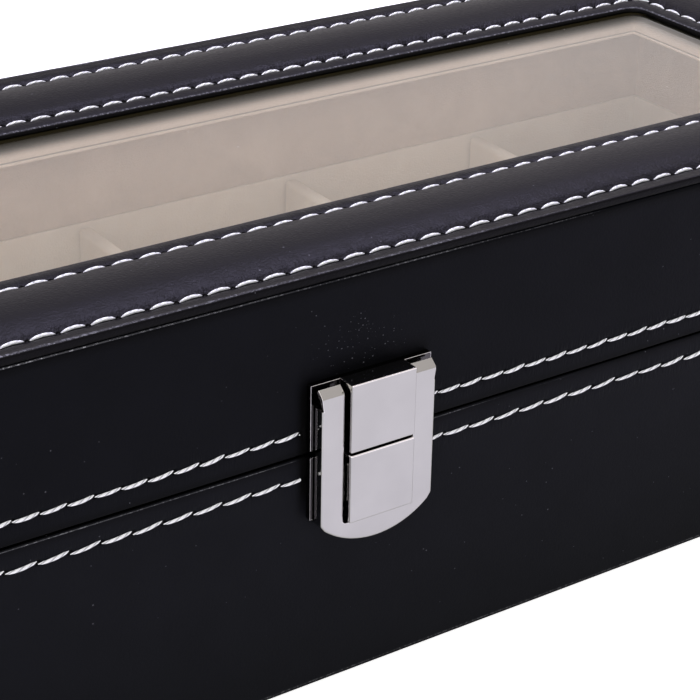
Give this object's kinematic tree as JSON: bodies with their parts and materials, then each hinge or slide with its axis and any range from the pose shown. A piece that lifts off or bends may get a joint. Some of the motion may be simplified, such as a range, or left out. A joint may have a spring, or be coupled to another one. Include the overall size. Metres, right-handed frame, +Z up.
{
  "type": "watch box",
  "caption": "Long leather-covered box with a hinged glazed lid, a push-button clasp and a lined row of watch compartments with loose cushions.",
  "frame": {"origin": "on the rest surface, under the middle of the box", "axes": "+X along the row of compartments to the right as seen from the clasp, +Y from the clasp to the hinges, +Z up"},
  "size_m": [0.3008, 0.1162, 0.0777],
  "materials": {
    "black_leather": "smooth black coated leather, low sheen",
    "padded_leather": "soft charcoal coated leather over padding, fine grain",
    "cream_velvet": "short-pile cream velvet on card",
    "cushion_velvet": "short-pile cream velvet cushion",
    "polished_nickel": "polished nickel plate",
    "hinge_nickel": "nickel-plated steel",
    "spring_steel": "bright spring wire",
    "fibre_board": "raw medium-density fibreboard",
    "clear_glass": "clear float glass",
    "white_foam": "open-cell foam strip",
    "black_felt": "black felt"
  },
  "bodies": {
    "base": {"base_felt": "black_felt", "base_bottom_board": "fibre_board", "base_front_board": "fibre_board", "base_back_board": "fibre_board", "base_left_board": "fibre_board", "base_right_board": "fibre_board", "base_leather": "black_leather", "base_wall_lining": "cream_velvet", "base_floor_lining": "cream_velvet", "divider_1": "cream_velvet", "divider_2": "cream_velvet", "divider_3": "cream_velvet", "divider_4": "cream_velvet", "divider_5": "cream_velvet", "clasp_base_plate": "polished_nickel", "clasp_cover": "polished_nickel", "clasp_base_nails": "hinge_nickel", "clasp_spring": "spring_steel", "left_hinge_base_leaf": "hinge_nickel", "left_hinge_pin": "hinge_nickel", "right_hinge_base_leaf": "hinge_nickel", "right_hinge_pin": "hinge_nickel", "hinge_base_screws": "hinge_nickel"},
    "lid": {"left_hinge_lid_leaf": "hinge_nickel", "right_hinge_lid_leaf": "hinge_nickel", "hinge_lid_screws": "hinge_nickel", "lid_front_board": "fibre_board", "lid_back_board": "fibre_board", "lid_left_board": "fibre_board", "lid_right_board": "fibre_board", "frame_front_rail": "fibre_board", "frame_back_rail": "fibre_board", "frame_left_rail": "fibre_board", "frame_right_rail": "fibre_board", "lid_leather": "black_leather", "lid_wall_lining": "cream_velvet", "frame_lining": "cream_velvet", "glass_pane": "clear_glass", "frame_foam": "white_foam", "frame_leather": "padded_leather", "clasp_lid_plate": "polished_nickel", "clasp_striker": "polished_nickel", "clasp_lid_nails": "hinge_nickel"},
    "button": {"clasp_button": "polished_nickel"},
    "cushion_1": {"cushion_1": "cushion_velvet"},
    "cushion_2": {"cushion_2": "cushion_velvet"},
    "cushion_3": {"cushion_3": "cushion_velvet"},
    "cushion_4": {"cushion_4": "cushion_velvet"},
    "cushion_5": {"cushion_5": "cushion_velvet"},
    "cushion_6": {"cushion_6": "cushion_velvet"}
  },
  "joints": [
    {"name": "lid_hinge", "type": "hinge", "parent": "base", "child": "lid", "pos_m": [0, 0.0558, 0.0452], "axis": [-1, 0, 0], "range_deg": [0, 100]},
    {"name": "button_press", "type": "slide", "parent": "base", "child": "button", "axis": [0, 1, 0], "range_m": [0, 0.0012], "stiffness_N_per_m": 500, "springref_m": -0.001, "deforming": ["clasp_spring"]},
    {"name": "cushion_1_lift", "type": "slide", "parent": "base", "child": "cushion_1", "axis": [0, 0, 1], "range_m": [0, 0.026]},
    {"name": "cushion_2_lift", "type": "slide", "parent": "base", "child": "cushion_2", "axis": [0, 0, 1], "range_m": [0, 0.026]},
    {"name": "cushion_3_lift", "type": "slide", "parent": "base", "child": "cushion_3", "axis": [0, 0, 1], "range_m": [0, 0.026]},
    {"name": "cushion_4_lift", "type": "slide", "parent": "base", "child": "cushion_4", "axis": [0, 0, 1], "range_m": [0, 0.026]},
    {"name": "cushion_5_lift", "type": "slide", "parent": "base", "child": "cushion_5", "axis": [0, 0, 1], "range_m": [0, 0.026]},
    {"name": "cushion_6_lift", "type": "slide", "parent": "base", "child": "cushion_6", "axis": [0, 0, 1], "range_m": [0, 0.026]}
  ]
}
